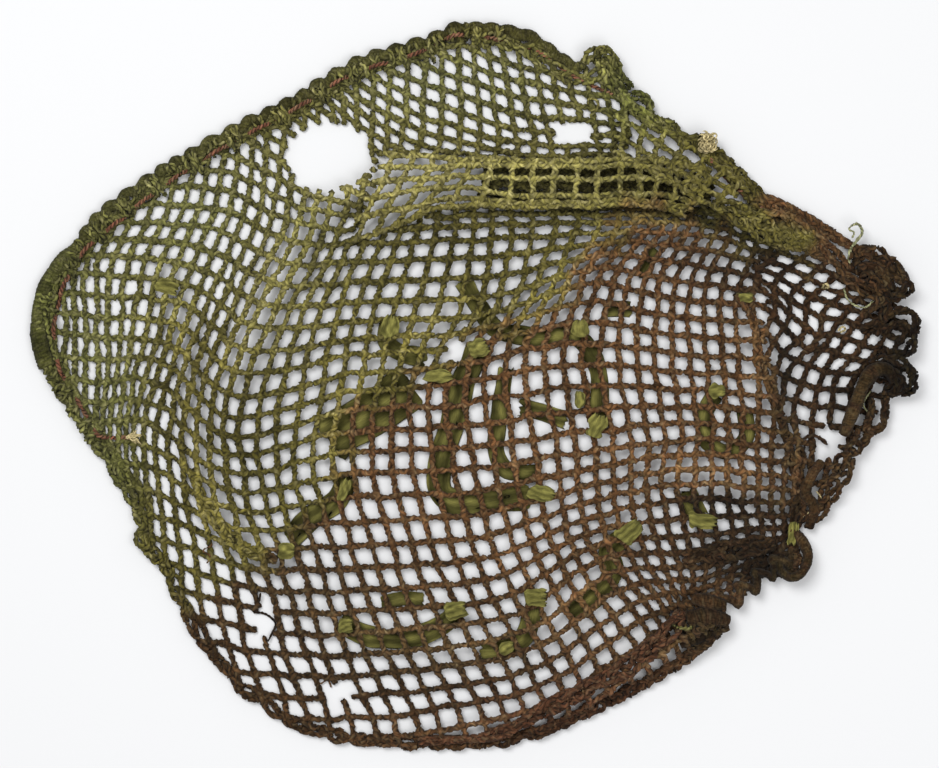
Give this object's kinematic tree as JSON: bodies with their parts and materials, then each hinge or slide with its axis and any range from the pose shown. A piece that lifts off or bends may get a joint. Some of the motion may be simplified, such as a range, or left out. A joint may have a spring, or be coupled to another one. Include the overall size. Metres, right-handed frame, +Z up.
{
  "type": "helmet net",
  "caption": "Knitted cotton camouflage net for a helmet, lying spread out, with a thick selvedge, a drawstring and scrim strips threaded through the mesh.",
  "frame": {"origin": "on the surface it lies on, under the middle of its outline", "axes": "+X along its longest spread, +Y across it towards the straight selvedge with the drawstring, +Z up"},
  "size_m": [0.4782, 0.394, 0.0209],
  "materials": {
    "olive_mesh": "matt knitted cotton",
    "brown_cord": "matt twisted cord",
    "scrim": "matt cotton tape",
    "pale_yarn": "matt frayed yarn"
  },
  "bodies": {
    "root": {"drawstring": "brown_cord", "net": "olive_mesh", "scrim_flap_12": "scrim", "scrim_flap_13": "scrim", "scrim_flap_16": "scrim", "scrim_flap_17": "scrim", "scrim_flap_18": "scrim", "scrim_flap_19": "scrim", "scrim_flap_2": "scrim", "scrim_flap_3": "scrim", "scrim_flap_6": "scrim", "scrim_knot_1": "scrim", "scrim_knot_10": "scrim", "scrim_knot_11": "scrim", "scrim_knot_14": "scrim", "scrim_knot_15": "scrim", "scrim_knot_4": "scrim", "scrim_knot_5": "scrim", "scrim_knot_7": "scrim", "scrim_knot_8": "scrim", "scrim_knot_9": "scrim", "scrim_strip_1": "scrim", "scrim_strip_10": "scrim", "scrim_strip_11": "scrim", "scrim_strip_12": "scrim", "scrim_strip_13": "scrim", "scrim_strip_14": "scrim", "scrim_strip_15": "scrim", "scrim_strip_2": "scrim", "scrim_strip_3": "scrim", "scrim_strip_4": "scrim", "scrim_strip_5": "scrim", "scrim_strip_6": "scrim", "scrim_strip_7": "scrim", "scrim_strip_8": "scrim", "scrim_strip_9": "scrim", "yarn_tuft": "pale_yarn"}
  },
  "joints": []
}
